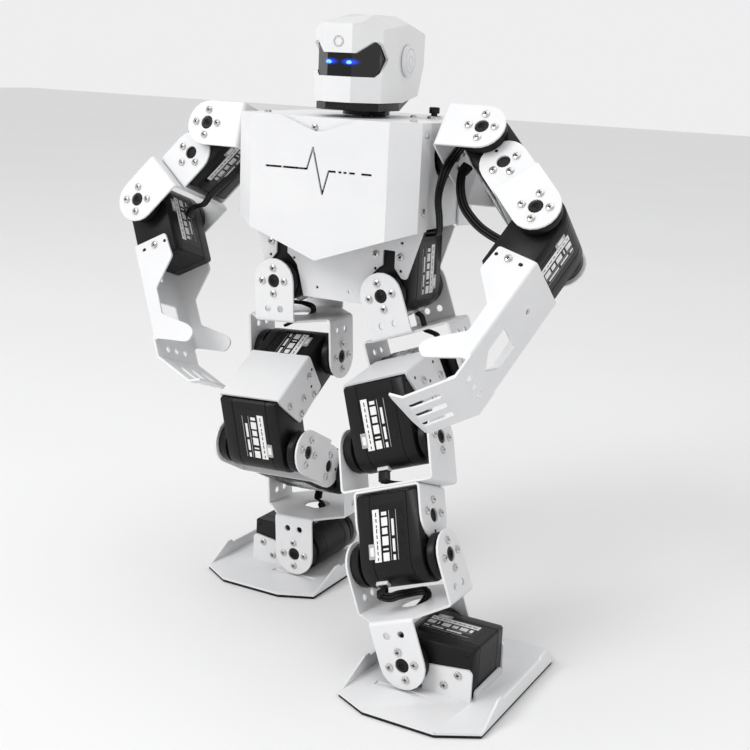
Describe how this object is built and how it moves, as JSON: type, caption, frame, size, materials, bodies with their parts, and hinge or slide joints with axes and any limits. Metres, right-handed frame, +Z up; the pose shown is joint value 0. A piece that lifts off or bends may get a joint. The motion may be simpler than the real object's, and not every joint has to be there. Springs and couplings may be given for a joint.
{
  "type": "humanoid robot kit",
  "caption": "Walking humanoid robot of folded white metal brackets and black bus servos, with a helmet head, sheet-metal hands and flat feet.",
  "frame": {"origin": "centre of the footprint box, on the floor under the soles", "axes": "+Z up; the robot faces -Y and its left side is +X; stored in a low walking stance with the left foot forward"},
  "size_m": [0.2734, 0.1963, 0.3201],
  "materials": {
    "white_sheet_metal": "satin white powder coat on folded aluminium sheet",
    "helmet": "gloss white moulded plastic",
    "visor": "gloss black, mirror smooth",
    "eye_lamp": "lit blue lamp",
    "servo_case": "satin black moulded plastic with fine texture",
    "black_plastic": "satin black moulded plastic",
    "lead": "black insulated wire, slightly glossy",
    "sole": "matt black rubber",
    "bright_metal": "bright nickel plated steel",
    "circuit_board": "green solder mask",
    "battery_wrap": "shrink wrap film"
  },
  "bodies": {
    "torso": {"chest_cover": "white_sheet_metal", "body_frame": "white_sheet_metal", "back_cover": "white_sheet_metal", "front_pelvis_plate": "white_sheet_metal", "rear_pelvis_plate": "white_sheet_metal", "left_hip_roll_servo": "servo_case", "right_hip_roll_servo": "servo_case", "left_shoulder_pitch_servo": "servo_case", "right_shoulder_pitch_servo": "servo_case", "head_servo": "servo_case", "controller_board": "circuit_board", "battery_pack": "battery_wrap", "button_collar": "bright_metal", "left_shoulder_lead": "lead"},
    "power_button": {"power_button_cap": "black_plastic"},
    "head": {"head_shell": "helmet", "visor": "visor", "head_base": "black_plastic", "left_ear_cap": "helmet", "right_ear_cap": "helmet", "left_eye": "eye_lamp", "right_eye": "eye_lamp"},
    "left_shoulder": {"left_shoulder_bracket": "white_sheet_metal"},
    "left_upper_arm": {"left_shoulder_roll_servo": "servo_case", "left_upper_arm_case_bracket": "white_sheet_metal", "left_upper_arm_horn_bracket": "white_sheet_metal", "left_elbow_lead": "lead"},
    "left_forearm": {"left_elbow_servo": "servo_case", "left_hand": "white_sheet_metal"},
    "left_hip": {"left_hip_bracket": "white_sheet_metal"},
    "left_thigh": {"left_hip_pitch_servo": "servo_case", "left_thigh_cover": "white_sheet_metal", "left_knee_servo": "servo_case"},
    "left_shin": {"left_knee_bracket": "white_sheet_metal", "left_shin_bracket": "white_sheet_metal", "left_ankle_pitch_servo": "servo_case", "left_ankle_lead": "lead"},
    "left_ankle": {"left_ankle_bracket": "white_sheet_metal"},
    "left_foot": {"left_ankle_roll_servo": "servo_case", "left_foot_plate": "white_sheet_metal", "left_sole_pad": "sole"},
    "right_shoulder": {"right_shoulder_bracket": "white_sheet_metal"},
    "right_upper_arm": {"right_shoulder_roll_servo": "servo_case", "right_upper_arm_case_bracket": "white_sheet_metal", "right_upper_arm_horn_bracket": "white_sheet_metal", "right_elbow_lead": "lead"},
    "right_forearm": {"right_elbow_servo": "servo_case", "right_hand": "white_sheet_metal"},
    "right_hip": {"right_hip_bracket": "white_sheet_metal"},
    "right_thigh": {"right_hip_pitch_servo": "servo_case", "right_thigh_cover": "white_sheet_metal", "right_knee_servo": "servo_case"},
    "right_shin": {"right_knee_bracket": "white_sheet_metal", "right_shin_bracket": "white_sheet_metal", "right_ankle_pitch_servo": "servo_case", "right_ankle_lead": "lead"},
    "right_ankle": {"right_ankle_bracket": "white_sheet_metal"},
    "right_foot": {"right_ankle_roll_servo": "servo_case", "right_foot_plate": "white_sheet_metal", "right_sole_pad": "sole"}
  },
  "joints": [
    {"name": "head_pan", "type": "hinge", "parent": "torso", "child": "head", "pos_m": [-0.00664, 0.03741, 0.17809], "axis": [0, 0, 1], "range_deg": [-65, 55]},
    {"name": "left_shoulder_pitch", "type": "hinge", "parent": "torso", "child": "left_shoulder", "pos_m": [0.07461, 0.02981, 0.25139], "axis": [1, 0, 0], "range_deg": [-110, 6], "deforming": ["left_shoulder_lead"]},
    {"name": "left_shoulder_roll", "type": "hinge", "parent": "left_shoulder", "child": "left_upper_arm", "pos_m": [0.07461, 0.02981, 0.25139], "axis": [0, -0.7837, 0.6211], "range_deg": [-10, 90]},
    {"name": "left_elbow", "type": "hinge", "parent": "left_upper_arm", "child": "left_forearm", "pos_m": [0.11624, 0.00349, 0.21819], "axis": [0, -0.7837, 0.6211], "range_deg": [-18, 100], "deforming": ["left_elbow_lead"]},
    {"name": "right_shoulder_pitch", "type": "hinge", "parent": "torso", "child": "right_shoulder", "pos_m": [-0.08789, 0.02981, 0.25139], "axis": [-1, 0, 0], "range_deg": [-60, 100]},
    {"name": "right_shoulder_roll", "type": "hinge", "parent": "right_shoulder", "child": "right_upper_arm", "pos_m": [-0.08789, 0.02981, 0.25139], "axis": [0, 0.9472, -0.3206], "range_deg": [0, 90]},
    {"name": "right_elbow", "type": "hinge", "parent": "right_upper_arm", "child": "right_forearm", "pos_m": [-0.12438, 0.01478, 0.20699], "axis": [0, -0.9472, 0.3206], "range_deg": [-100, 5], "deforming": ["right_elbow_lead"]},
    {"name": "left_hip_roll", "type": "hinge", "parent": "torso", "child": "left_hip", "pos_m": [0.02666, 0.02831, 0.17809], "axis": [0, -1, 0], "range_deg": [-18, 15]},
    {"name": "left_hip_pitch", "type": "hinge", "parent": "left_hip", "child": "left_thigh", "pos_m": [0.04206, 0.02831, 0.13645], "axis": [0.9379, 0, 0.3469], "range_deg": [-20, 95]},
    {"name": "left_knee", "type": "hinge", "parent": "left_thigh", "child": "left_shin", "pos_m": [0.05248, -0.02305, 0.10829], "axis": [-0.9379, 0, -0.3469], "range_deg": [-80, 40]},
    {"name": "left_ankle_pitch", "type": "hinge", "parent": "left_shin", "child": "left_ankle", "pos_m": [0.07132, -0.04455, 0.05736], "axis": [0.9379, 0, 0.3469], "range_deg": [-80, 60], "deforming": ["left_ankle_lead"]},
    {"name": "left_ankle_roll", "type": "hinge", "parent": "left_ankle", "child": "left_foot", "pos_m": [0.08672, -0.04455, 0.01572], "axis": [0, 1, 0], "range_deg": [-35, 25]},
    {"name": "right_hip_roll", "type": "hinge", "parent": "torso", "child": "right_hip", "pos_m": [-0.03994, 0.02831, 0.17809], "axis": [0, -1, 0], "range_deg": [-5, 18]},
    {"name": "right_hip_pitch", "type": "hinge", "parent": "right_hip", "child": "right_thigh", "pos_m": [-0.03746, 0.02831, 0.13376], "axis": [-0.9984, 0, -0.0558], "range_deg": [-80, 22]},
    {"name": "right_knee", "type": "hinge", "parent": "right_thigh", "child": "right_shin", "pos_m": [-0.03485, -0.00856, 0.08714], "axis": [0.9984, 0, 0.0558], "range_deg": [-100, 22]},
    {"name": "right_ankle_pitch", "type": "hinge", "parent": "right_shin", "child": "right_ankle", "pos_m": [-0.03334, 0.04315, 0.06003], "axis": [-0.9984, 0, -0.0558], "range_deg": [-80, 40], "deforming": ["right_ankle_lead"]},
    {"name": "right_ankle_roll", "type": "hinge", "parent": "right_ankle", "child": "right_foot", "pos_m": [-0.03086, 0.04315, 0.0157], "axis": [0, -1, 0], "range_deg": [-14, 45]},
    {"name": "power_button_press", "type": "slide", "parent": "torso", "child": "power_button", "axis": [0, 0, -1], "range_m": [0, 0.001], "stiffness_N_per_m": 250, "springref_m": -0.0006}
  ]
}
